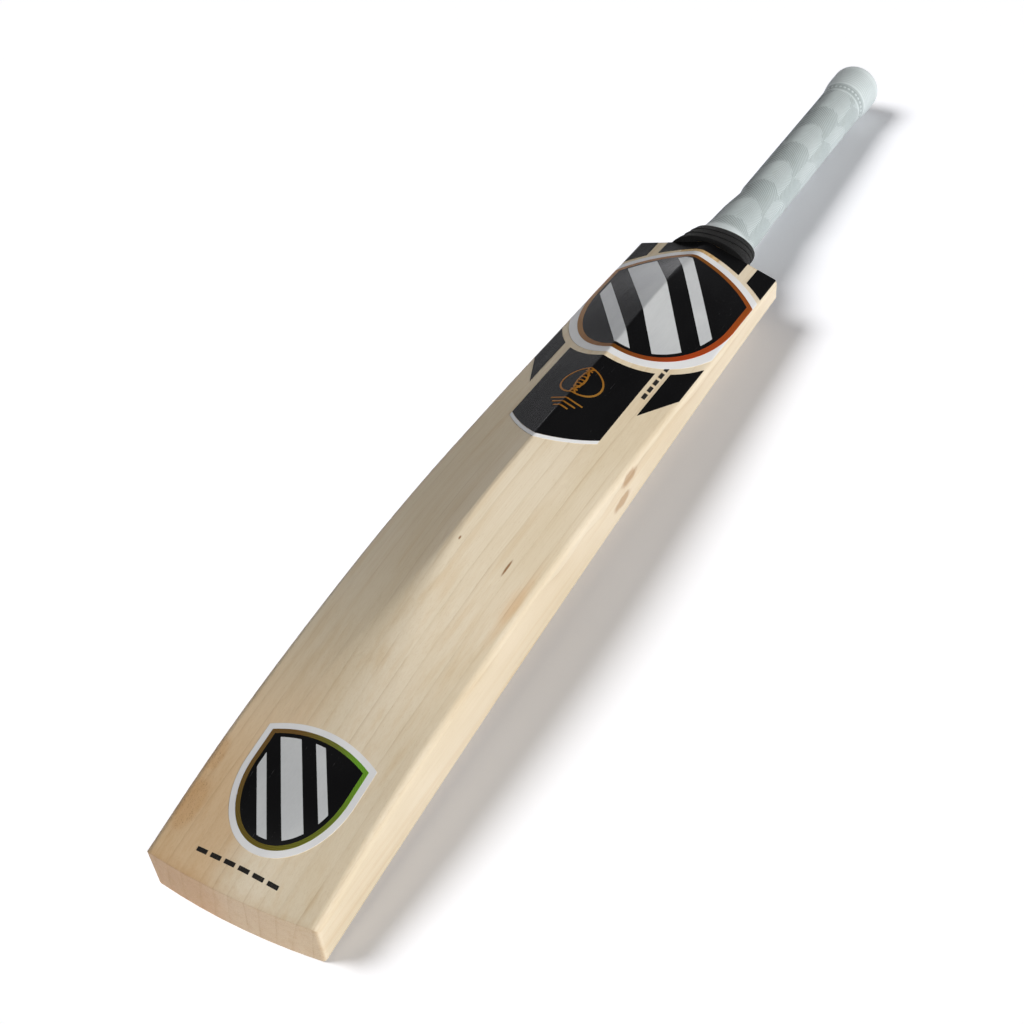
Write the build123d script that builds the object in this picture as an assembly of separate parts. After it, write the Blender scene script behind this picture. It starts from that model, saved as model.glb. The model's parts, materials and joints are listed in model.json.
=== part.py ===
from build123d import *
import math
import os

# A cricket bat: willow blade, spliced twelve-piece cane handle with spring strips,
# twine binding, rubber grip, black tape collar and a set of thin vinyl stickers.
#
# Frame: the bat rests on its face, held by the toe and by the end of the handle.
# +X runs from the toe to the handle, +Y across the blade, +Z out of its back.
# Lengths along the bat are measured from the tip of the toe while it is built;
# the finished nodes are moved so that the origin is under the middle of the bat.

# ---- overall sizes, mm ----
BAT_LENGTH = 860.0
BLADE_LENGTH = 570.0
BLADE_WIDTH = 108.0
HANDLE_LENGTH = BAT_LENGTH - BLADE_LENGTH

# ---- blade ----
SHOULDER_RISE = 22.6        # height of the face at the shoulders above the rest plane
FACE_BOW = 8.4              # how far the face bows away from its own chord
# the toe is a shallow arc in plan, cut a little out of square
TOE_TIP = (0.0, 10.0)
TOE_RIGHT_SIDE = 5.0        # how far the corners sit behind the tip
TOE_LEFT_SIDE = 2.2
TOE_CORNER_R = 3.0
SHOULDER_CORNER_R = 3.0
FACE_EDGE_R = 2.5
BACK_EDGE_R = 4.5
# distance from the toe, edge thickness, spine height and radius of the spine's crest
BLADE_STATIONS = [
    (0, 30.0, 31.2, 600),
    (65, 37.0, 40.5, 350),
    (125, 39.5, 48.0, 140),
    (180, 39.5, 56.5, 35),
    (236, 38.5, 60.0, 6),
    (306, 34.5, 57.0, 3),
    (386, 28.0, 49.8, 3),
    (430, 24.3, 45.8, 3),
    (470, 21.2, 43.8, 3),
    (508, 18.5, 41.6, 4),
    (530, 17.0, 38.3, 8),
    (550, 15.8, 34.5, 12),
    (BLADE_LENGTH, 14.7, 32.3, 14),
]

# ---- handle: distances are measured along its own axis from the shoulders ----
HANDLE_ROOT_HEIGHT = 32.3
CORE_R = 14.5
TWINE_THICKNESS = 0.8
GRIP_THICKNESS = 2.2
GRIP_START = 8.0            # the twine starts here too
CORE_END = HANDLE_LENGTH - 3
# distance, half width, half height and lift of the axis, where blade turns into handle
NECK_STATIONS = [
    (-8, 22.0, 14.0, 5.5),
    (8, 21.8, 15.6, 5.0),
    (26, 17.6, 15.6, 3.0),
    (48, 16.0, 15.2, 1.8),
    (70, 15.0, 15.0, 0.5),
    (95, CORE_R, CORE_R, 0.0),
]
KNOB_R = 19.4
KNOB_START = 40.0           # these three are measured back from the end of the handle
KNOB_PARALLEL = 18.0
KNOB_ROUND = 6.0
GRIP_MOUTH_R = 12.0

# ---- splice ----
SPLICE_LENGTH = 145.0
SPLICE_WIDTH = 31.0
SPLICE_TIP_WIDTH = 9.0
CHEEK_LENGTH = 22.0         # willow left on both sides of the cane above the shoulders
SPRING_PITCH = 7.4          # from one spring strip to the next
SPRING_THICKNESS = 1.6
CANE_WIDTH = 9.8            # width of the middle cane in each layer

# ---- collar: wraps of tape round the foot of the grip, longest on the face side ----
GRIP_OFFSET = TWINE_THICKNESS + GRIP_THICKNESS
COLLAR_STATIONS = [
    (-8, 31.5, 18.2, 7.6),
    (8, 28.0, 19.0, 5.4),
    (26, 23.2, 20.4, 1.6),
    (52, 21.8, 21.4, -0.6),
]
COLLAR_CLEARANCE = 0.2      # from the shoulders of the blade
COLLAR_TILT = 31.0          # degrees between the rims of the wraps and a square cut
# start and end along the axis, and how far the wrap stands out from the thinnest one
COLLAR_WRAPS = {
    "collar_tape_lower": (-60.0, 19.5, 0.0),
    "collar_tape_middle": (19.5, 25.5, 0.4),
    "collar_tape_upper": (25.5, 31.5, 0.8),
}

# ---- stickers: sizes in plan ----
VINYL = 0.30                # base sheet
FOIL = 0.15                 # printed layer on top of a base sheet
RAISED = 0.30               # embossed bars
PANEL_EDGE = 52.4           # outer edge of the side panels
PANEL_GAP = (30.8, 38.4)    # bare wood between the middle panel and a side panel
PANEL_TOP = BLADE_LENGTH - 0.3
# foot, widest station, head, rise of the head's arc, half width and sideways shift
EMBLEM = (418.0, 500.0, 555.5, 23.5, 58.2, 0.0)
EMBLEM_RING = (5.8, 9.4)    # outer and inner inset of the metallic line
UPPER_PANEL_GAP = 4.0       # bare wood between the emblem and the upper panels
LOWER_PANEL_GAP = 4.6       # the same for the lower panels
LOWER_PANEL_POINT = (325.4, 0.0)    # the foot's lowest point, on the crest
LOWER_PANEL_BOW = (337.2, 18.0)     # a point halfway up each side of the foot
LOWER_PANEL_FOOT = 349.0            # the foot's ends, at the panel's sides
LOWER_SIDE_FEET = (384.0, 415.0)
TRIM_GAP = 0.4
TRIM_WIDTH = 3.0
BADGE = (23.0, 68.0, 97.0, 8.0, 34.5, -2.0)
BADGE_RING = (3.6, 6.2)
BAR_SLANT = 35.0            # degrees between the raised bars and the bat's axis
MOTIF_CENTRE = (384, 0)
MOTIF_R = 14.0
MOTIF_LINE = 1.2
DASH_WIDTH = 2.4

# ---- derived ----
HALF_WIDTH = BLADE_WIDTH / 2
HANDLE_DROP = HANDLE_ROOT_HEIGHT - KNOB_R
HANDLE_SLOPE = math.asin(HANDLE_DROP / HANDLE_LENGTH)
HANDLE_AXIS = Vector(math.cos(HANDLE_SLOPE), 0, -math.sin(HANDLE_SLOPE))
HANDLE_ORIGIN = Vector(BLADE_LENGTH, 0, HANDLE_ROOT_HEIGHT)
# local X runs across the blade, local Y out of its back, local Z along the handle
HANDLE_PLANE = Plane(origin=HANDLE_ORIGIN, x_dir=(0, 1, 0), z_dir=HANDLE_AXIS)
TALL = 150.0                # taller than anything in the bat


# ---- blade ----

def face_height(x):
    """Height of the blade's face above the rest plane."""
    s = x / BLADE_LENGTH
    return SHOULDER_RISE * s + 4 * FACE_BOW * s * (1 - s)


def blade_section(x, edge, spine, crest_r):
    """Cross-section of the blade: flat face, upright edges, two flanks and a crest."""
    foot = face_height(x)
    corner = foot + edge
    outline = Polyline(
        (-HALF_WIDTH, foot),
        (HALF_WIDTH, foot),
        (HALF_WIDTH, corner),
        (0, foot + spine),
        (-HALF_WIDTH, corner),
        close=True,
    )
    section = make_face(outline)
    section = fillet(section.vertices().sort_by(Axis.Y)[:2], FACE_EDGE_R)
    section = fillet(section.vertices().sort_by(Axis.Y)[-1], crest_r)
    corners = [v for v in section.vertices() if abs(v.Y - corner) < 1e-6]
    section = fillet(corners, BACK_EDGE_R)
    return Plane.YZ.offset(x) * section


def toe_and_shoulder_trim():
    """The space inside the round toe and inside the rounded shoulder corners."""
    outline = Polyline(
        (TOE_LEFT_SIDE, HALF_WIDTH),
        (BLADE_LENGTH, HALF_WIDTH),
        (BLADE_LENGTH, -HALF_WIDTH),
        (TOE_RIGHT_SIDE, -HALF_WIDTH),
    )
    toe_line = ThreePointArc((TOE_RIGHT_SIDE, -HALF_WIDTH), TOE_TIP, (TOE_LEFT_SIDE, HALF_WIDTH))
    plan = make_face(outline + toe_line)
    plan = fillet(plan.vertices().sort_by(Axis.X)[:2], TOE_CORNER_R)
    plan = fillet(plan.vertices().sort_by(Axis.X)[-2:], SHOULDER_CORNER_R)
    return extrude(plan, TALL)


def blade_blank():
    """The whole blade before the slot for the splice is cut."""
    sections = [blade_section(*station) for station in BLADE_STATIONS]
    return loft(sections) & toe_and_shoulder_trim()


# ---- handle ----

def handle_slab(start, end):
    """Everything between two planes across the handle."""
    slab = extrude(Rectangle(TALL, TALL), end - start)
    return HANDLE_PLANE * Pos(0, 0, start) * slab


def oval_loft(stations, offset):
    """A loft of ovals across the handle, grown outwards by an offset."""
    sections = []
    for distance, half_width, half_height, lift in stations:
        ring = Ellipse(half_width + offset, half_height + offset)
        sections.append(HANDLE_PLANE * Pos(0, lift, distance) * ring)
    return loft(sections)


def handle_form(offset):
    """The core of the handle with its neck, grown outwards by an offset."""
    shaft_start = NECK_STATIONS[-1][0]
    shaft = extrude(Circle(CORE_R + offset), CORE_END - shaft_start)
    return oval_loft(NECK_STATIONS, offset) + HANDLE_PLANE * Pos(0, 0, shaft_start) * shaft


def splice_zone():
    """The V of the splice in plan, carried on between the cheeks and then along the handle."""
    tip = BLADE_LENGTH - SPLICE_LENGTH
    cheek_end = BLADE_LENGTH + CHEEK_LENGTH
    far_end = BAT_LENGTH + 10
    one_side = [
        (tip, SPLICE_TIP_WIDTH / 2),
        (BLADE_LENGTH, SPLICE_WIDTH / 2),
        (cheek_end, SPLICE_WIDTH / 2),
        (cheek_end, HALF_WIDTH),
        (far_end, HALF_WIDTH),
    ]
    other_side = [(x, -y) for x, y in reversed(one_side)]
    return extrude(make_face(Polyline(*one_side, *other_side, close=True)), TALL)


def layer_box(low, high, side_low, side_high):
    """A straight box along the handle between two heights and two sides."""
    reach = SPLICE_LENGTH + 20
    box = Box(
        side_high - side_low,
        high - low,
        reach + HANDLE_LENGTH + 20,
        align=(Align.MIN, Align.MIN, Align.MIN),
    )
    return HANDLE_PLANE * Pos(side_low, low, -reach) * box


def split_core(core):
    """Cut the handle core into three spring strips and twelve canes."""
    nodes = {}
    half = SPRING_THICKNESS / 2
    springs = {"front": -SPRING_PITCH, "middle": 0, "back": SPRING_PITCH}
    for name, height in springs.items():
        nodes[f"spring_strip_{name}"] = core & layer_box(height - half, height + half, -TALL, TALL)
    layers = {
        "front": (-TALL, -SPRING_PITCH - half),
        "inner_front": (-SPRING_PITCH + half, -half),
        "inner_back": (half, SPRING_PITCH - half),
        "back": (SPRING_PITCH + half, TALL),
    }
    side = CANE_WIDTH / 2
    columns = {"right": (-TALL, -side), "middle": (-side, side), "left": (side, TALL)}
    for layer, heights in layers.items():
        for column, sides in columns.items():
            nodes[f"cane_{layer}_{column}"] = core & layer_box(*heights, *sides)
    return nodes


def knob():
    """Outside of the last stretch of the grip, which swells into a round-ended knob."""
    grip_r = CORE_R + GRIP_OFFSET
    start = HANDLE_LENGTH - KNOB_START
    parallel = HANDLE_LENGTH - KNOB_PARALLEL
    round_start = HANDLE_LENGTH - KNOB_ROUND
    swell = Spline((grip_r, start), (KNOB_R, parallel), tangents=((0, 1), (0, 1)))
    wall = Line((KNOB_R, parallel), (KNOB_R, round_start))
    shoulder = JernArc((KNOB_R, round_start), (0, 1), KNOB_ROUND, 90)
    rest = Polyline((KNOB_R - KNOB_ROUND, HANDLE_LENGTH), (0, HANDLE_LENGTH), (0, start), (grip_r, start))
    profile = make_face([swell, wall, shoulder, rest])
    solid = revolve(profile, Axis.Y)
    return HANDLE_PLANE * Rot(90, 0, 0) * solid


def grip_sleeve(inside):
    """Rubber grip: a tube over the twine that closes over the rim of the handle's end."""
    knob_start = HANDLE_LENGTH - KNOB_START
    sleeve = handle_form(GRIP_OFFSET) & handle_slab(GRIP_START, knob_start)
    mouth = HANDLE_PLANE * Cylinder(GRIP_MOUTH_R, 4 * HANDLE_LENGTH)
    return sleeve + knob() - inside - mouth


def collar_wraps(covered):
    """Tape wraps over what they cover, with slanting rims, each standing out a little more."""
    above_shoulders = Pos(BLADE_LENGTH + COLLAR_CLEARANCE) * Box(
        TALL, TALL, TALL, align=(Align.MIN, Align.CENTER, Align.CENTER)
    )
    tilt = math.radians(COLLAR_TILT)
    nodes = {}
    for name, (start, end, proud) in COLLAR_WRAPS.items():
        slab = extrude(Rectangle(2 * TALL, 2 * TALL), (end - start) * math.cos(tilt))
        slab = HANDLE_PLANE * Pos(0, 0, start) * Rot(-COLLAR_TILT, 0, 0) * slab
        wrap = oval_loft(COLLAR_STATIONS, proud) & slab & above_shoulders
        nodes[name] = wrap - covered
    return nodes


# ---- stickers ----

def crest(shape, inset=0.0):
    """An outline with a half-oval foot, straight sides and a head that is a shallow arc."""
    foot, widest, head, rise, half_width, shift = shape
    side = half_width - inset
    lower = Pos(widest, shift) * Ellipse(widest - foot - inset, side)
    upper = span(widest, head - inset, shift - side, shift + side)
    head_r = (half_width**2 + rise**2) / (2 * rise)
    return (lower + upper) & Pos(head - head_r, shift) * Circle(head_r - inset)


def bar(centre, length, width, angle=0.0):
    """A straight bar in plan."""
    return Pos(*centre) * Rot(0, 0, angle) * Rectangle(length, width)


def span(x_low, x_high, y_low, y_high):
    """A rectangle in plan between two stations and two sides."""
    return bar(((x_low + x_high) / 2, (y_low + y_high) / 2), x_high - x_low, y_high - y_low)


def raised_bars(shape, inset):
    """Three slanting bars inside a crest: a broad one between two narrow ones."""
    foot, _, head, _, half_width, shift = shape
    size = half_width - inset
    middle = (foot + head) / 2
    bars = Sketch()
    for place, width in ((-0.62, 0.20), (0.0, 0.44), (0.62, 0.20)):
        across = Vector(0, 1).rotate(Axis.Z, BAR_SLANT) * place * size
        spot = (middle + across.X, shift + across.Y)
        bars += bar(spot, 4 * size, width * size, BAR_SLANT)
    return bars & crest(shape, inset)


def ball_motif():
    """A ball with a stitched seam and three short bars under it, all in thin lines."""
    cx, cy = MOTIF_CENTRE
    ball = Pos(cx, cy) * Circle(MOTIF_R)
    lines = ball - Pos(cx, cy) * Circle(MOTIF_R - MOTIF_LINE)
    seam_r = 1.5 * MOTIF_R
    seam_shift = seam_r - 0.22 * MOTIF_R
    for side in (-1, 1):
        ring = Circle(seam_r) - Circle(seam_r - MOTIF_LINE)
        lines += Pos(cx, cy + side * seam_shift) * ring & ball
    stitch = 0.34 * MOTIF_R
    for step in range(-3, 4):
        lines += bar((cx + step * 0.24 * MOTIF_R, cy), MOTIF_LINE, stitch)
    for step in range(3):
        lines += bar((cx - MOTIF_R - 6 - 4 * step, cy), MOTIF_LINE, 22 - 6 * step)
    return lines


def dashes(start, step, count, length, width):
    """A row of equal plain dashes in place of lettering."""
    row = Sketch()
    for index in range(count):
        row += bar((start[0] + index * step[0], start[1] + index * step[1]), length, width)
    return row


def sticker_outlines():
    """Plan outline, lower level and upper level of each sticker above the bare blade."""
    inner, outer = PANEL_GAP
    printed = (VINYL, VINYL + FOIL)
    embossed = (VINYL + FOIL, VINYL + FOIL + RAISED)
    base = (0.0, VINYL)
    widest = EMBLEM[1]

    emblem_and_gap = crest(EMBLEM, -UPPER_PANEL_GAP)
    emblem_and_wide_gap = crest(EMBLEM, -LOWER_PANEL_GAP)
    side_panel = span(widest, PANEL_TOP, outer, PANEL_EDGE) - emblem_and_gap
    centre_panel = span(widest, PANEL_TOP, -inner, inner) - emblem_and_gap

    left_foot = ThreePointArc(LOWER_PANEL_POINT, LOWER_PANEL_BOW, (LOWER_PANEL_FOOT, inner))
    right_foot = mirror(left_foot, Plane.XZ)
    sides = Polyline(
        (LOWER_PANEL_FOOT, inner), (widest, inner), (widest, -inner), (LOWER_PANEL_FOOT, -inner)
    )
    lower_panel = make_face(left_foot + right_foot + sides)
    trim = Pos(-TRIM_GAP - TRIM_WIDTH) * lower_panel - Pos(-TRIM_GAP) * lower_panel
    trim = trim & span(0, LOWER_PANEL_FOOT, -inner, inner)
    lower_panel = lower_panel - emblem_and_wide_gap
    lower_side = make_face(Polyline(
        (LOWER_SIDE_FEET[0], outer),
        (LOWER_SIDE_FEET[1], PANEL_EDGE),
        (widest, PANEL_EDGE),
        (widest, outer),
        close=True,
    )) - emblem_and_wide_gap

    outlines = {
        "upper_panel_left": (side_panel, *base),
        "upper_panel_centre": (centre_panel, *base),
        "upper_panel_right": (mirror(side_panel, Plane.XZ), *base),
        "lower_panel_left": (lower_side, *base),
        "lower_panel_centre": (lower_panel, *base),
        "lower_panel_right": (mirror(lower_side, Plane.XZ), *base),
        "lower_panel_trim": (trim, *base),
        "lower_panel_motif": (ball_motif(), *printed),
    }
    back = span(0, BLADE_LENGTH, -PANEL_EDGE, PANEL_EDGE)
    for name, shape, ring in (("emblem", EMBLEM, EMBLEM_RING), ("toe_badge", BADGE, BADGE_RING)):
        field = crest(shape, ring[1])
        outlines[f"{name}_border"] = (crest(shape) & back, *base)
        outlines[f"{name}_ring"] = ((crest(shape, ring[0]) & back) - field, *printed)
        outlines[f"{name}_field"] = (field, *printed)
        outlines[f"{name}_bars"] = (raised_bars(shape, ring[1] + 2.5), *embossed)
    outlines["toe_dashes"] = (dashes((14, -21), (0, 9), 6, DASH_WIDTH, 6.5), 0.0, FOIL)
    middle_of_gap = (inner + outer) / 2
    outlines["edge_dashes"] = (dashes((402, -middle_of_gap), (8, 0), 5, 5.5, DASH_WIDTH), 0.0, FOIL)
    return outlines


def stickers(blank):
    """Thin sheets that follow the back of the blade inside their outlines."""
    nodes = {}
    for name, (outline, low, high) in sticker_outlines().items():
        prism = extrude(outline, TALL)
        nodes[name] = (Pos(0, 0, high) * blank & prism) - Pos(0, 0, low) * blank
    return nodes


# ---- assembly ----

def build_bat():
    blank = blade_blank()
    core_form = handle_form(0)
    body = blank + core_form
    zone = splice_zone()
    core = body & zone
    nodes = {"blade": body - zone}
    nodes.update(split_core(core))
    over_twine = handle_form(TWINE_THICKNESS)
    twine = over_twine & handle_slab(GRIP_START, CORE_END)
    nodes["handle_twine"] = twine - core_form
    nodes["grip_sleeve"] = grip_sleeve(over_twine)
    over_grip = handle_form(GRIP_OFFSET) & handle_slab(GRIP_START, CORE_END)
    nodes.update(collar_wraps(core_form + over_grip))
    nodes.update(stickers(blank))
    return nodes


def main():
    nodes = build_bat()
    boxes = [shape.bounding_box() for shape in nodes.values()]
    rear = min(box.min.X for box in boxes)
    front = max(box.max.X for box in boxes)
    lowest = min(box.min.Z for box in boxes)
    to_origin = Pos(-(rear + front) / 2, 0, -lowest)
    os.makedirs("parts", exist_ok=True)
    for name, shape in nodes.items():
        export_step(to_origin * shape, f"parts/{name}.step")
    print(f"{len(nodes)} nodes, {front - rear:.2f} mm long, moved by {to_origin.position}")


main()
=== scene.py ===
"""Cricket bat on a pale studio floor.

Materials for the CAD pieces, a moulded rubber grip, cloth tape round the handle's foot, lights and camera."""

import json
import math

import bpy
import numpy as np
from mathutils import Matrix, Vector, noise
from mathutils.bvhtree import BVHTree


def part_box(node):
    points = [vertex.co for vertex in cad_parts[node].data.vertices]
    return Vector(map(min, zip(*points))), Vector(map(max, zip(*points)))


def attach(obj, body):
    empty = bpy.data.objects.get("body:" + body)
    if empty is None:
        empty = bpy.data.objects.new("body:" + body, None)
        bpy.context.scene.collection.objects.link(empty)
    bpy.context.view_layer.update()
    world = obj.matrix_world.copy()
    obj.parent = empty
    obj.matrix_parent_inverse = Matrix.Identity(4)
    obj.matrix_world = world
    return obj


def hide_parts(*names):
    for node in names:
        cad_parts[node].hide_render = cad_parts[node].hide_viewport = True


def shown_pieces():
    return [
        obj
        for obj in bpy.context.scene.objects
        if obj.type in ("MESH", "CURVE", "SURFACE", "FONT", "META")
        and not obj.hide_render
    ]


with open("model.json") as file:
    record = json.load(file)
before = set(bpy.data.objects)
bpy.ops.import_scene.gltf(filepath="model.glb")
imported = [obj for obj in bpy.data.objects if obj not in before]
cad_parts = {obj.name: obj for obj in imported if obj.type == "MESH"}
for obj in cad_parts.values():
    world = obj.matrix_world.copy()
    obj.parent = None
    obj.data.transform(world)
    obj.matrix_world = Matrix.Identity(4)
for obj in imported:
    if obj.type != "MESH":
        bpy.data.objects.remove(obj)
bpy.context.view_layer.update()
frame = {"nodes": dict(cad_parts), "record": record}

MM = 0.001
TOE_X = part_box("blade")[0][0]


def along(station):
    """Frame X of a point this many millimetres from the tip of the toe."""
    return TOE_X + station * MM


def srgb(red, green, blue):
    """Linear colour of an 8-bit display colour."""
    def linear(c):
        c /= 255
        return c / 12.92 if c <= 0.04045 else ((c + 0.055) / 1.055) ** 2.4
    return (linear(red), linear(green), linear(blue), 1.0)


# ---------------------------------------------------------------- shader helper


class Shader:
    """A Principled material and the few node patterns that the bat's materials share."""

    def __init__(self, name, **fixed):
        self.material = bpy.data.materials.new(name)
        self.material.use_nodes = True
        self.tree = self.material.node_tree
        self.surface = self.tree.nodes["Principled BSDF"]
        for socket, value in fixed.items():
            self.surface.inputs[socket.replace("_", " ")].default_value = value
        coordinates = self.tree.nodes.new("ShaderNodeTexCoord")
        self.place = coordinates.outputs["Object"]
        split = self.add("ShaderNodeSeparateXYZ", self.place)
        self.x, self.y, self.z = split.outputs

    def add(self, kind, *values, **settings):
        """A node of this kind. Each value sets or feeds the input of the same number, and None leaves it."""
        node = self.tree.nodes.new(kind)
        for key, value in settings.items():
            setattr(node, key, value)
        for socket, value in zip(node.inputs, values):
            self.feed(socket, value)
        return node

    def feed(self, socket, value):
        if isinstance(value, bpy.types.NodeSocket):
            self.tree.links.new(value, socket)
        elif value is not None:
            socket.default_value = value

    def calc(self, operation, first, second=None, third=None):
        return self.add("ShaderNodeMath", first, second, third, operation=operation).outputs[0]

    def total(self, *values):
        result = values[0]
        for value in values[1:]:
            result = self.calc("ADD", result, value)
        return result

    def product(self, *values):
        result = values[0]
        for value in values[1:]:
            result = self.calc("MULTIPLY", result, value)
        return result

    def ramp(self, value, low, high, start=0.0, end=1.0):
        """Smooth step of value from start at low to end at high."""
        node = self.add("ShaderNodeMapRange", value, low, high, start, end, interpolation_type="SMOOTHSTEP")
        return node.outputs[0]

    def stretch(self, x, y, z):
        """The place with each axis multiplied, for a texture whose scale differs along and across the bat."""
        return self.add("ShaderNodeVectorMath", self.place, (x, y, z), operation="MULTIPLY").outputs[0]

    def noise(self, vector, scale=1.0, detail=2.0, roughness=0.5):
        node = self.add("ShaderNodeTexNoise", None, None, scale, detail, roughness)
        self.feed(node.inputs["Vector"], vector)
        return node.outputs[0]

    def cells(self, vector, scale=1.0):
        """Distance to the nearest of scattered points."""
        node = self.add("ShaderNodeTexVoronoi", vector, None, scale)
        return node.outputs[0]

    def mix(self, factor, first, second):
        node = self.add("ShaderNodeMix", data_type="RGBA")
        self.feed(node.inputs[0], factor)
        self.feed(node.inputs[6], first)
        self.feed(node.inputs[7], second)
        return node.outputs[2]

    def tint(self, colour, factor, amount):
        """Multiplies colour by amount where factor is 1."""
        node = self.add("ShaderNodeMix", data_type="RGBA", blend_type="MULTIPLY")
        self.feed(node.inputs[0], factor)
        self.feed(node.inputs[6], colour)
        self.feed(node.inputs[7], amount)
        return node.outputs[2]

    def oval(self, centre, radii, soft=0.5, wobble=0.25, grain=120):
        """1 inside an uneven oval patch about a point, fading out towards its edge."""
        offset = self.add("ShaderNodeVectorMath", self.place, centre, operation="SUBTRACT").outputs[0]
        scaled = self.add("ShaderNodeVectorMath", offset, radii, operation="DIVIDE").outputs[0]
        length = self.add("ShaderNodeVectorMath", scaled, operation="LENGTH").outputs["Value"]
        ragged = self.calc("MULTIPLY_ADD", self.noise(self.place, grain, 3.0), 2 * wobble, -wobble)
        return self.ramp(self.total(length, ragged), 1 - soft, 1.0, 1.0, 0.0)

    def bump(self, height, depth, before=None):
        """A normal for a height from 0 to 1 over this depth in metres."""
        node = self.add("ShaderNodeBump")
        self.feed(node.inputs["Strength"], 1.0)
        self.feed(node.inputs["Distance"], depth)
        self.feed(node.inputs["Height"], height)
        self.feed(node.inputs["Normal"], before)
        return node.outputs[0]

    def finish(self, colour=None, roughness=None, normal=None):
        self.feed(self.surface.inputs["Base Color"], colour)
        self.feed(self.surface.inputs["Roughness"], roughness)
        self.feed(self.surface.inputs["Normal"], normal)
        return self.material


# ---------------------------------------------------------------- wood


def growth_rings(s, pitch, drift=0.0035):
    """0 to 1 across each growth ring, which stands on edge across the blade and runs along it."""
    wander = s.noise(s.stretch(3.2, 9, 9), 1.0, 2.0)
    kinks = s.noise(s.stretch(26, 40, 40), 1.0, 1.0)
    uneven = s.noise(s.stretch(0.6, 75, 12), 1.0, 0.0)
    across = s.total(
        s.y,
        s.calc("MULTIPLY", s.z, 0.16),
        s.calc("MULTIPLY", wander, drift),
        s.calc("MULTIPLY", kinks, 0.0009),
        s.calc("MULTIPLY", uneven, 0.009),
    )
    return s.calc("FRACT", s.calc("DIVIDE", across, pitch))


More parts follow.
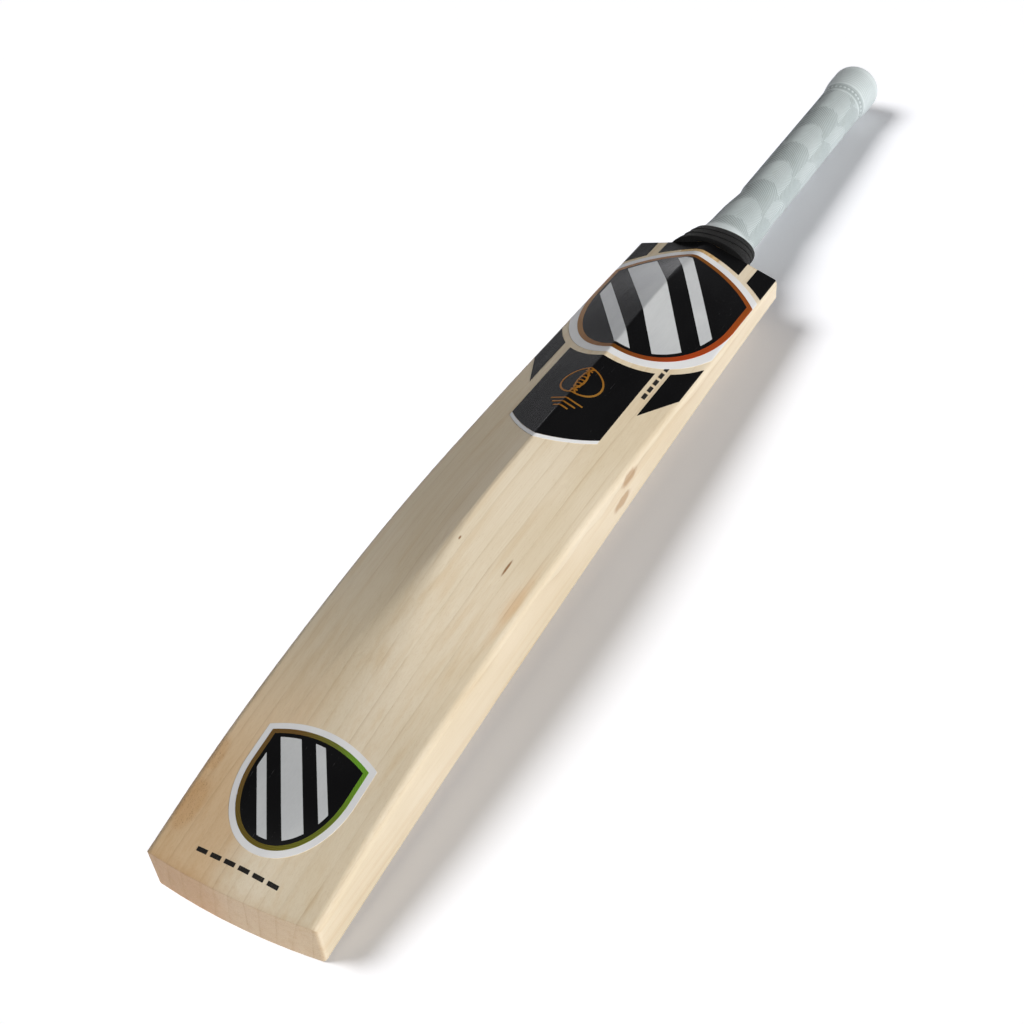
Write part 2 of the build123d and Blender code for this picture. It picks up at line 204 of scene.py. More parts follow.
def willow():
    s = Shader("willow", Specular_IOR_Level=0.42)
    ring = growth_rings(s, 0.0098)
    late_wood = s.calc("POWER", ring, 16.0)
    ring_shade = s.calc("POWER", ring, 3.0)
    fibre = s.noise(s.stretch(20, 1500, 1500), 1.0, 3.0, 0.6)
    streak = s.noise(s.stretch(5, 190, 190), 1.0, 3.0, 0.55)
    cloud = s.noise(s.stretch(7, 16, 16), 1.0, 3.0)
    vessel = s.ramp(s.cells(s.stretch(150, 1500, 1500)), 0.10, 0.20, 1.0, 0.0)

    colour = s.mix(s.ramp(cloud, 0.36, 0.66), srgb(226, 211, 184), srgb(234, 221, 198))
    colour = s.tint(colour, s.ramp(streak, 0.45, 0.78), (0.94, 0.89, 0.82, 1))
    colour = s.tint(colour, s.ramp(fibre, 0.35, 0.75), (0.95, 0.93, 0.90, 1))
    colour = s.tint(colour, s.calc("MULTIPLY", ring_shade, 0.22), (0.92, 0.86, 0.78, 1))
    broken = s.ramp(s.noise(s.stretch(14, 60, 60), 1.0, 2.0), 0.38, 0.72, 0.03, 0.32)
    colour = s.tint(colour, s.product(late_wood, broken), (0.56, 0.42, 0.29, 1))
    colour = s.tint(colour, s.calc("MULTIPLY", vessel, 0.30), (0.72, 0.60, 0.48, 1))

    # Warmer, darker tan over the left of the toe, with mottled, pitted patches near its corner.
    left = s.ramp(s.total(s.y, s.calc("MULTIPLY", cloud, 0.012)), 0.002, 0.026)
    near_toe = s.ramp(s.total(s.x, s.calc("MULTIPLY", streak, 0.05)), along(60), along(190), 1.0, 0.0)
    colour = s.tint(colour, s.product(left, near_toe, 0.95), (0.93, 0.77, 0.61, 1))
    patch = s.total(
        s.oval((along(34), 0.046, 0.036), (0.020, 0.010, 0.05)),
        s.oval((along(62), 0.050, 0.036), (0.015, 0.007, 0.05), grain=170),
    )
    colour = s.tint(colour, s.calc("MULTIPLY", patch, 0.55), (0.90, 0.74, 0.56, 1))
    pit = s.ramp(s.cells(s.stretch(900, 1500, 1500)), 0.12, 0.26, 1.0, 0.0)
    colour = s.tint(colour, s.product(pit, patch, 0.6), (0.55, 0.40, 0.28, 1))

    # Natural marks: peach streaks and a fleck on the right, a fine speck, and a stain on the right edge.
    peach = s.oval((along(217), -0.0475, 0.064), (0.040, 0.0055, 0.03), 0.8, 0.3, 60)
    peach = s.product(peach, s.ramp(streak, 0.30, 0.55, 0.35, 1.0))
    colour = s.tint(colour, s.calc("MULTIPLY", peach, 0.75), (0.93, 0.76, 0.60, 1))
    fleck = s.oval((along(231.5), -0.0335, 0.066), (0.0085, 0.0008, 0.03), 0.6, 0.15, 300)
    speck = s.oval((along(231), -0.0037, 0.076), (0.0020, 0.0007, 0.03), 0.6, 0.15, 300)
    colour = s.tint(colour, s.total(fleck, speck), (0.40, 0.26, 0.17, 1))
    stain = s.total(
        s.oval((along(343), -0.054, 0.047), (0.012, 0.004, 0.0055), 0.5, 0.35, 140),
        s.oval((along(333), -0.054, 0.035), (0.013, 0.004, 0.0050), 0.5, 0.35, 140),
    )
    colour = s.tint(colour, s.calc("MULTIPLY", stain, 0.7), (0.55, 0.38, 0.24, 1))

    # End grain on the toe, and grime worn into the toe's rim.
    facing = s.add("ShaderNodeSeparateXYZ", s.add("ShaderNodeNewGeometry").outputs["Normal"]).outputs[0]
    end_grain = s.ramp(facing, -0.92, -0.55, 1.0, 0.0)
    pore = s.ramp(s.cells(s.stretch(200, 2300, 1500)), 0.15, 0.4, 1.0, 0.0)
    colour = s.tint(colour, end_grain, (0.84, 0.77, 0.68, 1))
    colour = s.tint(colour, s.product(end_grain, pore, 0.55), (0.62, 0.46, 0.36, 1))
    ragged_x = s.total(s.x, s.calc("MULTIPLY", s.noise(s.place, 260, 3.0), 0.010))
    rim = s.ramp(ragged_x, along(4), along(13), 1.0, 0.0)
    colour = s.tint(colour, s.calc("MULTIPLY", rim, 0.5), (0.84, 0.72, 0.60, 1))

    roughness = s.total(0.36, s.calc("MULTIPLY", fibre, 0.22), s.calc("MULTIPLY", late_wood, 0.12))
    dents = s.ramp(s.noise(s.stretch(60, 90, 90), 1.0, 1.0), 0.66, 0.78, 1.0, 0.0)
    worn_edges = s.add("ShaderNodeBevel", 0.0014, samples=6).outputs[0]
    normal = s.bump(dents, 0.00010, worn_edges)
    normal = s.bump(s.calc("SUBTRACT", 1.0, late_wood), 0.00006, normal)
    normal = s.bump(s.calc("SUBTRACT", fibre, s.calc("MULTIPLY", vessel, 0.4)), 0.00007, normal)
    normal = s.bump(s.calc("SUBTRACT", 1.0, s.product(pit, patch)), 0.00025, normal)
    return s.finish(colour, roughness, normal)


def cane():
    s = Shader("cane", Specular_IOR_Level=0.4)
    fibre = s.noise(s.stretch(16, 1900, 1900), 1.0, 3.0, 0.65)
    streak = s.noise(s.stretch(4, 420, 420), 1.0, 2.0)
    pore = s.ramp(s.cells(s.stretch(70, 1500, 1500)), 0.16, 0.3, 1.0, 0.0)
    colour = s.mix(s.ramp(streak, 0.35, 0.65), srgb(205, 170, 118), srgb(224, 194, 146))
    colour = s.tint(colour, s.ramp(fibre, 0.4, 0.72), (0.82, 0.74, 0.62, 1))
    colour = s.tint(colour, s.calc("MULTIPLY", pore, 0.6), (0.48, 0.34, 0.22, 1))
    roughness = s.calc("MULTIPLY_ADD", fibre, 0.2, 0.42)
    normal = s.bump(s.calc("SUBTRACT", fibre, s.calc("MULTIPLY", pore, 0.6)), 0.00008)
    return s.finish(colour, roughness, normal)


# ---------------------------------------------------------------- rubber, thread and cloth


def spring_rubber():
    s = Shader("spring_rubber", Specular_IOR_Level=0.35)
    crumb = s.noise(s.place, 1600, 3.0, 0.6)
    bloom = s.noise(s.stretch(30, 90, 90), 1.0, 3.0)
    colour = s.mix(s.ramp(bloom, 0.4, 0.7), srgb(46, 44, 43), srgb(66, 62, 58))
    colour = s.tint(colour, s.ramp(crumb, 0.4, 0.7), (0.7, 0.7, 0.7, 1))
    roughness = s.calc("MULTIPLY_ADD", crumb, 0.2, 0.62)
    return s.finish(colour, roughness, s.bump(crumb, 0.00008))


def twine():
    """Waxed thread wound round and round the handle, so its turns lie across the bat."""
    s = Shader("twine", Specular_IOR_Level=0.3, Sheen_Weight=0.25)
    turn = s.calc("PINGPONG", s.total(s.x, s.calc("MULTIPLY", s.z, 0.01)), 0.00055)
    bulge = s.calc("SQRT", s.calc("DIVIDE", turn, 0.00055))
    ply = s.noise(s.stretch(2600, 700, 700), 1.0, 2.0)
    wax = s.noise(s.stretch(60, 60, 60), 1.0, 3.0)
    colour = s.mix(s.ramp(wax, 0.35, 0.7), srgb(196, 178, 140), srgb(216, 202, 170))
    # Painted shade: the valleys between the thread's turns are darkened.
    colour = s.tint(colour, s.ramp(bulge, 0.2, 0.75, 1.0, 0.0), (0.42, 0.34, 0.24, 1))
    colour = s.tint(colour, s.ramp(ply, 0.4, 0.7), (0.84, 0.80, 0.72, 1))
    roughness = s.calc("MULTIPLY_ADD", ply, 0.2, 0.6)
    normal = s.bump(ply, 0.00006, s.bump(bulge, 0.00028))
    return s.finish(colour, roughness, normal)


def grip_rubber():
    """Pale moulded rubber. The mesh's groove attribute is 1 at the bottom of each moulded groove."""
    s = Shader("grip_rubber", Specular_IOR_Level=0.45, Sheen_Weight=0.15, Sheen_Roughness=0.5)
    groove = s.add("ShaderNodeAttribute", attribute_name="groove").outputs["Fac"]
    hatch = s.add("ShaderNodeAttribute", attribute_name="hatch").outputs["Fac"]
    cloud = s.noise(s.stretch(28, 45, 45), 1.0, 3.0)
    handled = s.noise(s.stretch(60, 140, 140), 1.0, 4.0, 0.62)
    speckle = s.noise(s.place, 1500, 2.0, 0.6)
    colour = s.mix(s.ramp(cloud, 0.35, 0.7), srgb(210, 220, 222), srgb(218, 227, 229))
    # Painted shade: the hatched areas and the bottoms of the moulded grooves are darkened where the fine ribs
    # would shade them.
    colour = s.tint(colour, s.calc("MULTIPLY", hatch, 0.25), (0.86, 0.87, 0.87, 1))
    colour = s.tint(colour, groove, (0.42, 0.45, 0.45, 1))
    colour = s.tint(colour, s.product(s.ramp(handled, 0.56, 0.78), 0.5), (0.88, 0.87, 0.83, 1))
    colour = s.tint(colour, s.ramp(speckle, 0.5, 0.8), (0.94, 0.94, 0.94, 1))
    roughness = s.total(0.44, s.calc("MULTIPLY", groove, 0.16), s.calc("MULTIPLY", handled, 0.12))
    normal = s.bump(speckle, 0.00005)
    return s.finish(colour, roughness, normal)


def collar_cloth():
    """Black woven tape: crossing threads about half a millimetre apart, with a little fuzz and lint."""
    s = Shader("collar_cloth", Specular_IOR_Level=0.25, Sheen_Weight=0.06, Sheen_Roughness=0.45)
    angle = s.calc("ARCTAN2", s.z, s.y)
    warp = s.calc("SINE", s.calc("MULTIPLY", s.x, 2 * math.pi / 0.00062))
    weft = s.calc("SINE", s.calc("MULTIPLY", angle, 220.0))
    weave = s.calc("MULTIPLY", warp, weft)
    fuzz = s.noise(s.place, 2100, 3.0, 0.7)
    worn = s.noise(s.stretch(70, 70, 70), 1.0, 4.0, 0.6)
    lint = s.ramp(s.cells(s.stretch(420, 420, 420)), 0.05, 0.10, 1.0, 0.0)
    colour = s.mix(s.ramp(worn, 0.4, 0.75), srgb(15, 15, 16), srgb(24, 24, 26))
    # Painted shade: the hollows between the crossing threads are darkened.
    colour = s.tint(colour, s.ramp(weave, -0.6, 0.4, 1.0, 0.0), (0.62, 0.62, 0.64, 1))
    colour = s.mix(s.calc("MULTIPLY", lint, 0.15), colour, srgb(80, 80, 82))
    roughness = s.calc("MULTIPLY_ADD", fuzz, 0.25, 0.62)
    normal = s.bump(fuzz, 0.00010, s.bump(weave, 0.00012))
    return s.finish(colour, roughness, normal)


# ---------------------------------------------------------------- stickers and ink


def film_wear(s):
    """(dust, hairline, ripple) of every printed film: specks, scratches along the bat and unevenness."""
    dust = s.ramp(s.cells(s.stretch(300, 300, 300)), 0.035, 0.07, 1.0, 0.0)
    hairline = s.ramp(s.noise(s.stretch(9, 900, 900), 1.0, 2.0, 0.6), 0.66, 0.74)
    hairline = s.product(hairline, s.ramp(s.noise(s.stretch(22, 22, 22), 1.0, 2.0), 0.5, 0.68))
    ripple = s.noise(s.stretch(45, 170, 170), 1.0, 2.0)
    return dust, hairline, ripple


def film(name, colour, second, roughness, grain=0.0, **fixed):
    """Sticker film that drifts between two tones, with dust, hairlines and, if asked, a brushed grain."""
    s = Shader(name, **fixed)
    dust, hairline, ripple = film_wear(s)
    drift = s.noise(s.stretch(18, 40, 40), 1.0, 3.0)
    brushed = s.noise(s.stretch(60, 2600, 2600), 1.0, 2.0, 0.6)
    tone = s.mix(s.ramp(drift, 0.35, 0.7), colour, second)
    tone = s.tint(tone, s.calc("MULTIPLY", s.ramp(brushed, 0.35, 0.7), grain), (0.72, 0.72, 0.72, 1))
    tone = s.mix(s.calc("MULTIPLY", dust, 0.12), tone, srgb(150, 148, 145))
    tone = s.mix(s.calc("MULTIPLY", hairline, 0.06), tone, srgb(170, 170, 170))
    rough = s.total(roughness, s.calc("MULTIPLY", ripple, 0.08), s.calc("MULTIPLY", hairline, 0.25))
    height = s.total(ripple, s.calc("MULTIPLY", brushed, 0.15 + grain), s.calc("MULTIPLY", dust, 0.3))
    return s.finish(tone, rough, s.bump(height, 0.00005))


def shifting_foil(name, centre_x, centre_y, stops, roughness=0.34):
    """Foil whose colour turns round a centre, as metallic ink does, with fine lines pressed along it."""
    s = Shader(name, Metallic=0.55, Specular_IOR_Level=0.5)
    dust, hairline, ripple = film_wear(s)
    dx = s.calc("SUBTRACT", s.x, centre_x)
    dy = s.calc("SUBTRACT", s.y, centre_y)
    turn = s.calc("MULTIPLY_ADD", s.calc("ARCTAN2", dy, dx), 0.5 / math.pi, 0.5)
    blend = s.add("ShaderNodeValToRGB", turn)
    ramp = blend.color_ramp
    ramp.elements[0].position, ramp.elements[0].color = stops[0]
    ramp.elements[1].position, ramp.elements[1].color = stops[-1]
    for position, colour in stops[1:-1]:
        ramp.elements.new(position).color = colour
    radius = s.calc("SQRT", s.total(s.product(dx, dx), s.product(dy, dy)))
    line = s.calc("SINE", s.calc("MULTIPLY", radius, 2 * math.pi / 0.0011))
    tone = s.tint(blend.outputs[0], s.ramp(line, 0.2, 0.95, 0.0, 0.45), (0.55, 0.5, 0.4, 1))
    tone = s.mix(s.calc("MULTIPLY", dust, 0.15), tone, srgb(190, 180, 165))
    rough = s.total(roughness, s.calc("MULTIPLY", ripple, 0.10), s.calc("MULTIPLY", hairline, 0.2))
    height = s.total(ripple, s.calc("MULTIPLY", line, 0.35))
    return s.finish(tone, rough, s.bump(height, 0.00006))


def ink():
    s = Shader("black_ink", Specular_IOR_Level=0.35)
    fibre = s.noise(s.stretch(20, 1500, 1500), 1.0, 3.0, 0.6)
    worn = s.noise(s.place, 420, 3.0, 0.65)
    colour = s.mix(s.ramp(worn, 0.58, 0.74), srgb(30, 28, 27), srgb(84, 74, 64))
    colour = s.mix(s.ramp(fibre, 0.62, 0.8, 0.0, 0.5), colour, srgb(110, 96, 80))
    roughness = s.calc("MULTIPLY_ADD", fibre, 0.2, 0.5)
    return s.finish(colour, roughness, s.bump(fibre, 0.00006))


emblem_x = along(490)
badge_x = along(62)
finishes = {
    "willow": willow(),
    "cane": cane(),
    "spring_rubber": spring_rubber(),
    "twine": twine(),
    "grip_rubber": grip_rubber(),
    "collar_tape": collar_cloth(),
    "black_vinyl": film("black_vinyl", srgb(11, 11, 12), srgb(16, 16, 17), 0.17, Specular_IOR_Level=0.5),
    "white_vinyl": film("white_vinyl", srgb(228, 229, 232), srgb(237, 238, 240), 0.26, Specular_IOR_Level=0.5),
    "silver_vinyl": film("silver_vinyl", srgb(222, 225, 228), srgb(232, 235, 237), 0.30, 0.18, Metallic=0.25),
    "gold_foil": film("gold_foil", srgb(196, 128, 46), srgb(220, 158, 70), 0.32, 0.25, Metallic=0.6),
    "orange_foil": shifting_foil("orange_foil", emblem_x, 0.0, [
        (0.00, srgb(150, 96, 34)),
        (0.12, srgb(224, 86, 36)),
        (0.28, srgb(214, 100, 38)),
        (0.50, srgb(168, 106, 36)),
        (0.72, srgb(188, 144, 104)),
        (0.90, srgb(176, 128, 72)),
        (1.00, srgb(150, 96, 34)),
    ]),
    "green_foil": shifting_foil("green_foil", badge_x, -0.002, [
        (0.00, srgb(138, 122, 48)),
        (0.20, srgb(140, 158, 56)),
        (0.38, srgb(138, 210, 62)),
        (0.46, srgb(142, 150, 62)),
        (0.58, srgb(150, 114, 62)),
        (0.78, srgb(150, 118, 64)),
        (1.00, srgb(138, 122, 48)),
    ]),
    "black_ink": ink(),
}

for part in frame["record"]["subparts"]:
    for holder in frame["nodes"][part["node"]].material_slots:
        holder.material = finishes[part["material_slot"]]


# ---------------------------------------------------------------- moulded grip

# The handle's axis leaves the shoulders' centre and falls gently towards the knob. The knob's mount is this
# far along it, in metres.
PIN_ALONG = 0.278
handle_pin = next(m for m in frame["record"]["mounts"] if m["name"] == "handle_end")
AXIS = Vector(handle_pin["axis"]).normalized()
ACROSS = Vector((0, 1, 0))
UP = AXIS.cross(ACROSS)
HANDLE_START = Vector(handle_pin["pos_m"]) - AXIS * PIN_ALONG

# Millimetres along the handle's axis from the shoulders, or round it.
GRIP_FROM, GRIP_TO = 8.0, 290.0
GRIP_R, GRIP_BORE_R = 17.5, 15.8
KNOB_R, KNOB_ROUND, MOUTH_R = 19.4, 6.0, 12.0
KNOB_ROUND_FROM = 283.6
PATTERN_IN = (24, 30)
PATTERN_OUT = (246.5, 248.5)
BELT_LINES = (249.6, 257.2)
BELT_MIDDLE = 253.4
BELT_BUMPS = 30
KNOB_RIB_PITCH = 2.2
COLUMNS = 4
SCALE_LENGTH = 59.4
FAN_LENGTH = 31.0
FIRST_FAN_TOP = 70.7
RIB_PITCH = 2.0
HATCH_TURN = math.radians(40)
GROOVE_DEPTH = 0.60
PATTERN_TURN = math.radians(55)


def smooth(value, low, high):
    t = np.clip((value - low) / (high - low), 0, 1)
    return t * t * (3 - 2 * t)


def rib(phase):
    """0 on a rounded rib and 1 at the bottom of the groove between two, once per unit of phase."""
    return np.abs(np.sin(np.pi * phase)) ** 1.6


def moulded_pattern(d, turn):
    """(groove, hatch) of the grip's overlapping scales, each a fan of curved ribs beside a slanted hatch.

    d is the distance along the handle in millimetres and turn the angle round it."""
    columns = ((turn - PATTERN_TURN) % (2 * math.pi)) / (2 * math.pi) * COLUMNS
    column = np.floor(columns)
    across = columns - column - 0.5
    offset = np.where(column % 2 == 0, 0.0, SCALE_LENGTH / 2)
    arch = 14.0 * (2 * across) ** 2
    below_top = (FIRST_FAN_TOP + offset - d - arch) % SCALE_LENGTH
    in_fan = smooth(FAN_LENGTH - 6 * np.abs(2 * across) - below_top, -0.4, 0.4)
    arc_length = turn * GRIP_R
    fan = rib(below_top / RIB_PITCH)
    slant = d * math.cos(HATCH_TURN) + arc_length * math.sin(HATCH_TURN)
    hatch = rib(slant / (RIB_PITCH * 0.92))
    groove = in_fan * fan * 0.72 + (1 - in_fan) * hatch
    outline = np.minimum(below_top, SCALE_LENGTH - below_top)
    groove = np.maximum(groove * smooth(outline, 0.3, 1.0), 0.85 * (1 - smooth(outline, 0.0, 0.55)))
    fade = smooth(d, *PATTERN_IN) * (1 - smooth(d, *PATTERN_OUT))
    return groove * fade, (1 - in_fan) * fade


def knob_pattern(d, turn):
    """Groove of the knob: two lines with a row of round bumps between them, then faint ribs round the knob."""
    lines = sum(np.exp(-((d - line) / 0.5) ** 2) for line in BELT_LINES)
    spacing = 2 * math.pi / BELT_BUMPS
    nearest = (turn + spacing / 2) % spacing - spacing / 2
    bump = np.exp(-((nearest * GRIP_R / 1.1) ** 2 + ((d - BELT_MIDDLE) / 1.1) ** 2) ** 2)
    belt = smooth(d, 250.0, 250.8) * (1 - smooth(d, 256.0, 256.8))
    ribs = rib(d / KNOB_RIB_PITCH) * 0.34 * smooth(d, 258, 261) * (1 - smooth(d, 279, 283))
    return np.clip(lines * 0.8 + belt * (0.75 - 0.95 * bump) + ribs, 0, 1)


def cad_radius(tree, distances, turns):
    """Outer radius in metres of a CAD node round the handle's axis, on a grid of distances and turns."""
    radius = np.zeros((len(distances), len(turns)))
    for i, d in enumerate(distances):
        centre = HANDLE_START + AXIS * float(d) * MM
        for j, turn in enumerate(turns):
            outward = ACROSS * math.cos(turn) + UP * math.sin(turn)
            hit = tree.ray_cast(centre + outward * 0.06, -outward)[0]
            radius[i, j] = (hit - centre).length if hit else np.nan
    return radius


def node_tree_of(*names):
    """Search tree over the meshes of these CAD nodes."""
    points, faces = [], []
    for name in names:
        mesh = frame["nodes"][name].data
        start = len(points)
        points += [v.co.copy() for v in mesh.vertices]
        faces += [[start + i for i in p.vertices] for p in mesh.polygons]
    return BVHTree.FromPolygons(points, faces)


def tube_mesh(name, rings, attributes):
    """A mesh from rings of points, all of the same count, with point attributes of the same layout."""
    rings = np.asarray(rings)
    count, around = rings.shape[:2]
    index = np.arange(count * around).reshape(count, around)
    following = np.roll(index, -1, axis=1)
    quads = np.stack([index[:-1], following[:-1], following[1:], index[1:]], axis=-1).reshape(-1, 4)
    mesh = bpy.data.meshes.new(name)
    mesh.from_pydata(rings.reshape(-1, 3).tolist(), [], quads.tolist())
    for key, values in attributes.items():
        layer = mesh.attributes.new(key, "FLOAT", "POINT")
        layer.data.foreach_set("value", np.asarray(values, dtype=np.float32).ravel())
    mesh.polygons.foreach_set("use_smooth", np.ones(len(mesh.polygons), dtype=bool))
    mesh.update()
    piece = bpy.data.objects.new(name, mesh)
    bpy.context.scene.collection.objects.link(piece)
    return piece


def grip():
    """The grip's rubber: the CAD sleeve's own outside with the pattern cut into it, closed at the knob."""
    around = 150
    turns = np.arange(around) * 2 * math.pi / around
    plain = np.linspace(GRIP_FROM, PATTERN_IN[0], 9)[:-1]
    straight = np.concatenate([plain, np.linspace(PATTERN_IN[0], KNOB_ROUND_FROM, 600)])
    coarse = np.linspace(GRIP_FROM + 0.05, KNOB_ROUND_FROM, 150)
    sampled = cad_radius(node_tree_of("grip_sleeve"), coarse, turns[::3])
    rows = np.array([np.interp(straight, coarse, column) for column in sampled.T]).T
    closed = np.column_stack([rows, rows[:, :1]])
    base = np.array([np.interp(np.arange(around), np.arange(0, around + 1, 3), row) for row in closed])
    d, turn = np.meshgrid(straight, turns, indexing="ij")
    groove, hatch = moulded_pattern(d, turn)
    groove = np.maximum(groove, knob_pattern(d, turn))
    radius = base - GROOVE_DEPTH * MM * groove

    ends = [(KNOB_R - KNOB_ROUND * (1 - math.cos(a)), GRIP_TO - KNOB_ROUND * (1 - math.sin(a)))
            for a in np.linspace(0.05, math.pi / 2, 9)]
    ends += [(MOUTH_R + wider, GRIP_TO - back) for wider, back in ((0.5, 0), (0.1, 0.2), (0, 0.6), (0, 2.9))]
    end_radius, end_d = (np.repeat(np.array(values)[:, None], around, axis=1) for values in zip(*ends))
    radius = np.vstack([np.full((1, around), GRIP_BORE_R * MM), radius, end_radius * MM])
    d = np.vstack([np.full((1, around), GRIP_FROM), d, end_d])
    unpatterned = ((1, len(ends)), (0, 0))
    outward = np.outer(np.cos(turns), np.array(ACROSS)) + np.outer(np.sin(turns), np.array(UP))
    rings = np.array(HANDLE_START) + d[..., None] * MM * np.array(AXIS) + radius[..., None] * outward
    return tube_mesh("grip_rubber_moulding", rings, {
        "groove": np.pad(groove, unpatterned),
        "hatch": np.pad(hatch, unpatterned),
    })


# Rims of the collar's wraps along the handle, in millimetres. None is a rim that stands on the shoulders.
WRAPS = {
    "collar_tape_lower": (None, 19.5),
    "collar_tape_middle": (19.5, 25.5),
    "collar_tape_upper": (25.5, 31.5),
}
COLLAR_LEAN = math.tan(math.radians(31))
SHOULDER_LEAN = 0.0445
SHOULDER_GAP = 0.25
TAPE_TURN = 6.5
TYPICAL_R = 23.0
PROBE_INSET = 0.25
RIM_WIDTH, RIM_DROP, RIM_DEPTH = 0.6, 0.5, 1.2


def outside(tree, d, turn, missing):
    """Outer radius in millimetres of a CAD node at one place round the handle, or missing if there is none."""
    centre = HANDLE_START + AXIS * d * MM
    outward = ACROSS * math.cos(turn) + UP * math.sin(turn)
    hit = tree.ray_cast(centre + outward * 0.06, -outward)[0]
    return (hit - centre).length / MM if hit else missing


def tape_surface(d, height, turn, radius):
    """How far the cloth lies below the CAD wrap, in millimetres: edges of turns, creases and puckers."""
    along_turns = (d + COLLAR_LEAN * height) / TAPE_TURN
    step = 0.22 * (along_turns - math.floor(along_turns)) ** 2
    crease = noise.noise(Vector((d * 0.16, math.cos(turn) * 3.2, math.sin(turn) * 3.2)))
    pucker = noise.noise(Vector((d * 0.9, math.cos(turn) * radius * 0.35, math.sin(turn) * radius * 0.35 + 40)))
    return step + 0.20 * max(crease, 0.0) + 0.08 * abs(pucker)


def cloth_wrap(name, start, end):
    """Wound cloth tape in the place of a CAD collar wrap, with soft rims that close on the grip."""
    around, count = 144, 44
    tree, sleeve = node_tree_of(name), node_tree_of("grip_sleeve")
    rings = np.zeros((count + 2, around, 3))
    for j in range(around):
        turn = 2 * math.pi * j / around
        rise = math.sin(turn)
        low = high = TYPICAL_R
        for _ in range(3):
            if start is None:
                bottom = SHOULDER_GAP - SHOULDER_LEAN * low * rise
            else:
                bottom = start - COLLAR_LEAN * low * rise
            top = end - COLLAR_LEAN * high * rise
            low = outside(tree, bottom + PROBE_INSET, turn, low)
            high = outside(tree, top - PROBE_INSET, turn, high)
        rows = []
        radius = low
        for d in np.linspace(bottom, top, count):
            radius = outside(tree, float(np.clip(d, bottom + 0.2, top - 0.2)), turn, radius)
            near_rim = max(0.0, 1 - min(d - bottom, top - d) / RIM_WIDTH)
            soft = RIM_DROP * (1 - math.sqrt(1 - near_rim ** 2))
            rows.append((d, radius - soft - tape_surface(d, radius * rise, turn, radius)))
        inner_low = rows[0][1] - RIM_DEPTH
        if start is None:
            inner_low = min(inner_low, radius - 2.5)
        inner_high = outside(sleeve, top, turn, rows[-1][1] - 1.5) - 0.1
        rows = [(bottom, inner_low), *rows, (top, min(inner_high, rows[-1][1] - 0.3))]
        outward = ACROSS * math.cos(turn) + UP * math.sin(turn)
        for i, (d, r) in enumerate(rows):
            rings[i, j] = HANDLE_START + AXIS * float(d) * MM + outward * float(r) * MM
    return tube_mesh(name.replace("tape", "cloth"), rings, {})


for node_name, (rim_start, rim_end) in WRAPS.items():
    cloth = cloth_wrap(node_name, rim_start, rim_end)
    cloth.data.materials.append(finishes["collar_tape"])
    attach(cloth, "root")
    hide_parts(node_name)

grip_piece = grip()
grip_piece.data.materials.append(finishes["grip_rubber"])
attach(grip_piece, "root")
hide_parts("grip_sleeve")


# ---------------------------------------------------------------- floor, light and camera

FLOOR_REACH = 6.0
FLOOR_DROP = 0.0003

def studio_floor():
    mesh = bpy.data.meshes.new("floor")
    corners = [(x * FLOOR_REACH, y * FLOOR_REACH, 0) for x, y in ((-1, -1), (1, -1), (1, 1), (-1, 1))]
    mesh.from_pydata(corners, [], [(0, 1, 2, 3)])
    floor = bpy.data.objects.new("floor", mesh)
    floor.location.z = -FLOOR_DROP
    bpy.context.scene.collection.objects.link(floor)
    s = Shader("floor_paper", Specular_IOR_Level=0.1)
    fine = s.noise(s.place, 700, 2.0)
    colour = s.mix(fine, (0.93, 0.93, 0.94, 1), (0.95, 0.95, 0.955, 1))
    s.surface.inputs["Emission Color"].default_value = (0.97, 0.97, 1.0, 1)
    s.surface.inputs["Emission Strength"].default_value = 0.28
    mesh.materials.append(s.finish(colour, 0.9))
    return floor


def sun(name, towards, strength, angle, colour, lights_up):
    """A soft distant light on some objects only. towards points from the bat to the light."""
    data = bpy.data.lights.new(name, "SUN")
    data.energy = strength
    data.angle = math.radians(angle)
    data.color = colour
    lamp = bpy.data.objects.new(name, data)
    lamp.light_linking.receiver_collection = lights_up
    lamp.rotation_mode = "QUATERNION"
    lamp.rotation_quaternion = Vector(towards).to_track_quat("Z", "Y")
    bpy.context.scene.collection.objects.link(lamp)
    return lamp


def collection_of(name, members):
    """A collection that only says which objects a light falls on."""
    collection = bpy.data.collections.new(name)
    for member in members:
        collection.objects.link(member)
    return collection


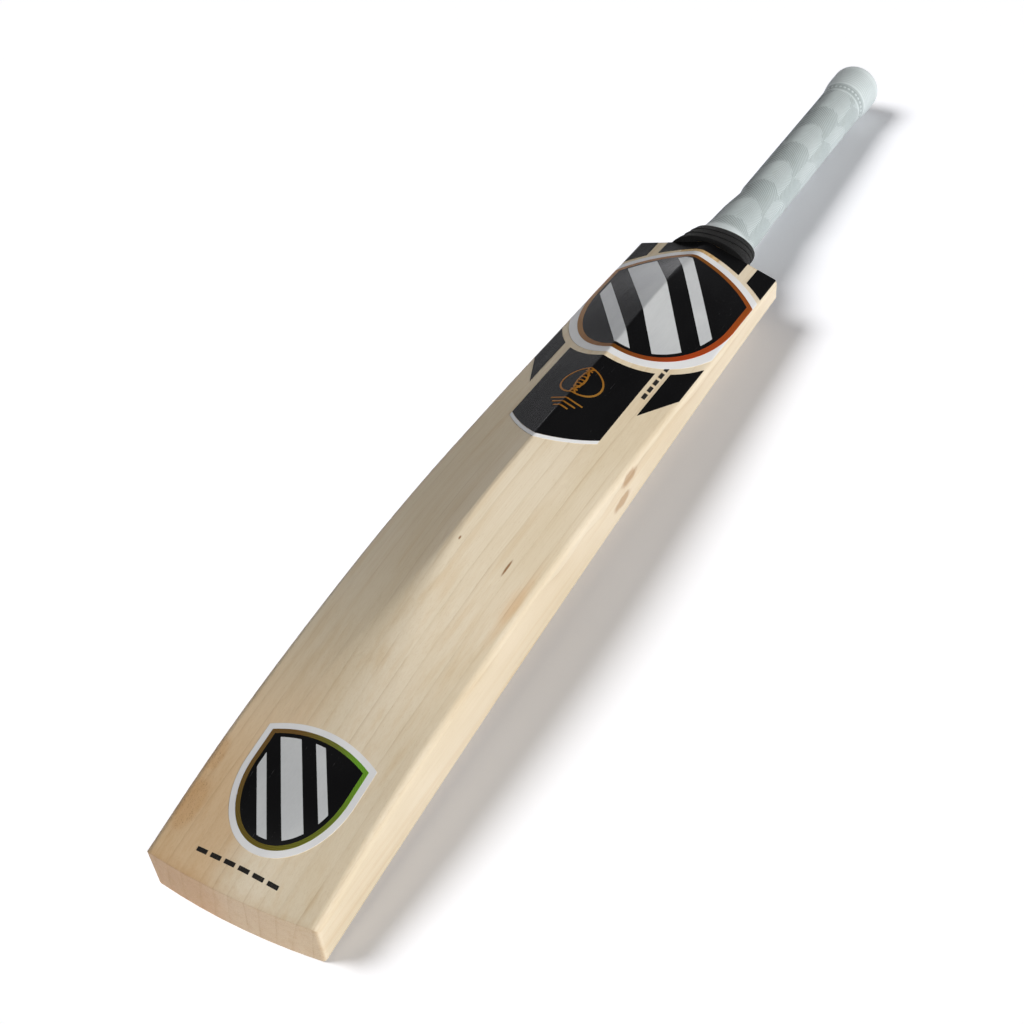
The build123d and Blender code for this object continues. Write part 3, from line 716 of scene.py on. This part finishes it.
def studio_world():
    """Bright walls all round that dim towards the ceiling."""
    world = bpy.data.worlds.new("studio")
    bpy.context.scene.world = world
    world.use_nodes = True
    tree = world.node_tree
    tree.nodes.clear()
    output = tree.nodes.new("ShaderNodeOutputWorld")
    background = tree.nodes.new("ShaderNodeBackground")
    height = tree.nodes.new("ShaderNodeSeparateXYZ")
    blend = tree.nodes.new("ShaderNodeValToRGB")
    coordinates = tree.nodes.new("ShaderNodeTexCoord")
    tree.links.new(coordinates.outputs["Generated"], height.inputs[0])
    tree.links.new(height.outputs[2], blend.inputs[0])
    tree.links.new(blend.outputs[0], background.inputs[0])
    # The camera sees plain white paper past the floor's end; only the light comes from the dimmer walls.
    paper_white = tree.nodes.new("ShaderNodeBackground")
    seen = tree.nodes.new("ShaderNodeLightPath")
    choose = tree.nodes.new("ShaderNodeMixShader")
    tree.links.new(seen.outputs["Is Camera Ray"], choose.inputs[0])
    tree.links.new(background.outputs[0], choose.inputs[1])
    tree.links.new(paper_white.outputs[0], choose.inputs[2])
    tree.links.new(choose.outputs[0], output.inputs[0])
    paper_white.inputs[0].default_value = (0.97, 0.97, 0.98, 1)
    ramp = blend.color_ramp
    ramp.elements[0].position, ramp.elements[0].color = 0.20, (0.20, 0.20, 0.21, 1)
    ramp.elements[1].position, ramp.elements[1].color = 0.55, (0.05, 0.05, 0.053, 1)


def photo_camera():
    data = bpy.data.cameras.new("camera")
    data.lens = 55.96
    data.sensor_width = 36.0
    data.clip_start, data.clip_end = 0.01, 50.0
    camera = bpy.data.objects.new("camera", data)
    right = Vector((0.49803, -0.86441, -0.06904))
    back = Vector((-0.58325, -0.39282, 0.71100))
    up = back.cross(right)
    turn = Matrix((right, up, back)).transposed().to_4x4()
    camera.matrix_world = Matrix.Translation((-0.7017, -0.3794, 0.7256)) @ turn
    bpy.context.scene.collection.objects.link(camera)
    bpy.context.scene.camera = camera


bat = collection_of("bat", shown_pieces())
paper = collection_of("paper", [studio_floor()])
studio_world()
sun("key", (-0.20, -0.74, 0.64), 2.85, 35, (1.0, 0.985, 0.95), bat)
sun("fill", (-0.30, 0.38, 0.87), 0.10, 40, (1.0, 0.98, 0.95), bat)
sun("overhead", (-0.22, 0.60, 0.77), 2.95, 26, (0.98, 0.98, 1.0), paper)
photo_camera()
bpy.context.scene.view_settings.view_transform = "Standard"
